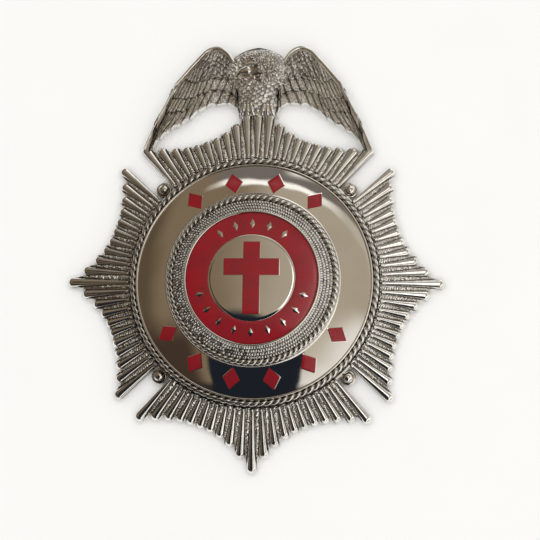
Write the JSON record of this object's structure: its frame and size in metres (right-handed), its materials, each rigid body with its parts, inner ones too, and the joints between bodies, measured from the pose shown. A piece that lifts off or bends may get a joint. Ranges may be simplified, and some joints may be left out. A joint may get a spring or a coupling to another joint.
{
  "type": "firefighter badge",
  "caption": "Eagle-topped sunburst badge in silver-coloured metal, with a domed panel, a red enamelled cross seal and a pin on the back.",
  "frame": {"origin": "under the middle of the badge's box, on the plane of its flat back", "axes": "+Z out of the badge's face, +Y towards the eagle's head, +X to the right as one looks at the face"},
  "size_m": [0.0668, 0.076, 0.0082],
  "materials": {
    "plated_metal": "bright plated, polished on the panel",
    "seal_metal": "bright plated, polished",
    "red_enamel": "glossy hard enamel",
    "pin_metal": "bright plated wire"
  },
  "bodies": {
    "root": {"badge_shell": "plated_metal", "center_seal": "seal_metal", "seal_enamel_ring": "red_enamel", "seal_cross": "red_enamel", "panel_inlay_1": "red_enamel", "panel_inlay_2": "red_enamel", "panel_inlay_3": "red_enamel", "panel_inlay_4": "red_enamel", "panel_inlay_5": "red_enamel", "panel_inlay_6": "red_enamel", "panel_inlay_7": "red_enamel", "panel_inlay_8": "red_enamel", "panel_inlay_9": "red_enamel", "panel_inlay_10": "red_enamel", "pin_clasp": "pin_metal"}
  },
  "joints": []
}
